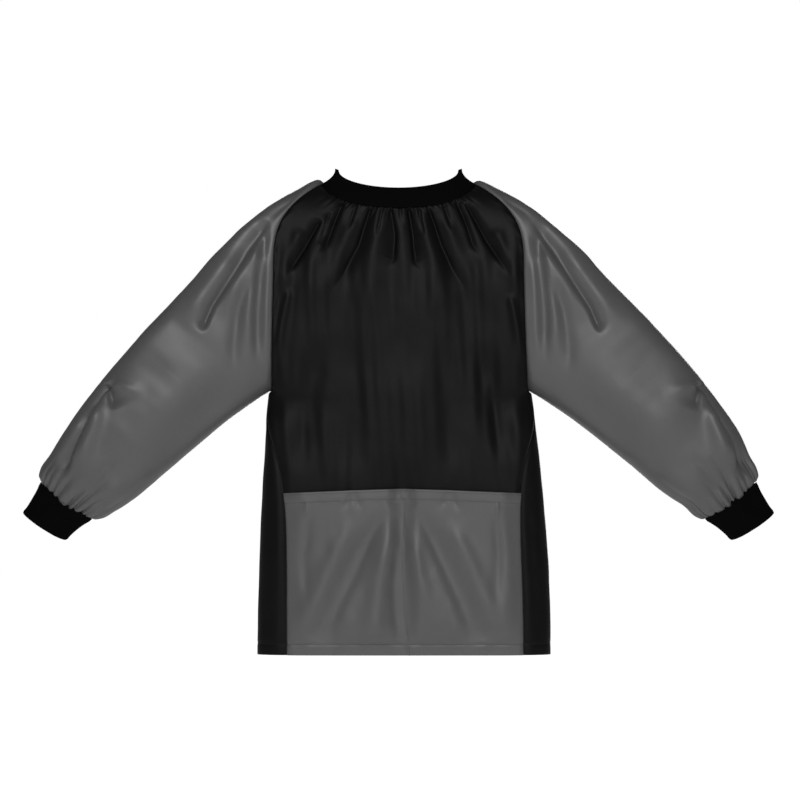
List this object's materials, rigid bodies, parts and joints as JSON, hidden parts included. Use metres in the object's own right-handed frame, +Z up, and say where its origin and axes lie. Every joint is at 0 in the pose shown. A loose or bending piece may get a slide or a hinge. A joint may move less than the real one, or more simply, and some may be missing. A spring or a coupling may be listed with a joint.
{
  "type": "artist smock apron",
  "caption": "Child's long-sleeved painting smock with a black body, grey raglan sleeves and pocket, ribbed collar and cuffs, and a lapped back closing.",
  "frame": {"origin": "middle of the neck opening, level with the two neck points where the raglan seams meet the collar", "axes": "+X towards the sleeve on the right of a front view, along the longest extent, -Y out of the front, +Z up"},
  "size_m": [1.016, 0.1018, 0.6515],
  "materials": {
    "black_cloth": "smooth coated plain weave with a soft sheen, black",
    "grey_cloth": "smooth coated plain weave with a soft sheen, mid grey",
    "black_rib": "matte rib knit, black",
    "loop_tape": "brushed nylon loops, black",
    "hook_tape": "moulded nylon hooks, black",
    "label_satin": "blank satin ribbon, off-white"
  },
  "bodies": {
    "torso": {"front_panel": "black_cloth", "pocket_panel": "grey_cloth", "back_side_left": "black_cloth", "back_side_right": "black_cloth", "shoulder_left": "grey_cloth", "shoulder_right": "grey_cloth", "collar_front": "black_rib"},
    "right_sleeve": {"sleeve_right": "grey_cloth", "cuff_right": "black_rib"},
    "left_sleeve": {"sleeve_left": "grey_cloth", "cuff_left": "black_rib"},
    "right_flap": {"back_flap_right": "black_cloth", "collar_back_right": "black_rib", "hook_tape_neck": "hook_tape", "hook_tape_waist": "hook_tape"},
    "left_flap": {"back_flap_left": "black_cloth", "collar_back_left": "black_rib", "loop_tape_neck": "loop_tape", "loop_tape_waist": "loop_tape", "care_label": "label_satin"}
  },
  "joints": [
    {"name": "right_sleeve_swing", "type": "hinge", "parent": "torso", "child": "right_sleeve", "pos_m": [0.177, -0.0475, -0.1575], "axis": [0, 0, -1], "range_deg": [0, 80]},
    {"name": "left_sleeve_swing", "type": "hinge", "parent": "torso", "child": "left_sleeve", "pos_m": [-0.177, -0.0475, -0.1575], "axis": [0, 0, 1], "range_deg": [0, 80]},
    {"name": "right_flap_swing", "type": "hinge", "parent": "torso", "child": "right_flap", "pos_m": [0.1, 0.0469, -0.318], "axis": [0.1248, 0, -0.9922], "range_deg": [0, 110]},
    {"name": "left_flap_swing", "type": "hinge", "parent": "torso", "child": "left_flap", "pos_m": [-0.1, 0.042, -0.318], "axis": [0.1248, 0, 0.9922], "range_deg": [0, 71.5]}
  ],
  "couplings": [
    {"joint": "left_flap_swing", "follows": "right_flap_swing", "ratio": 0.65}
  ]
}
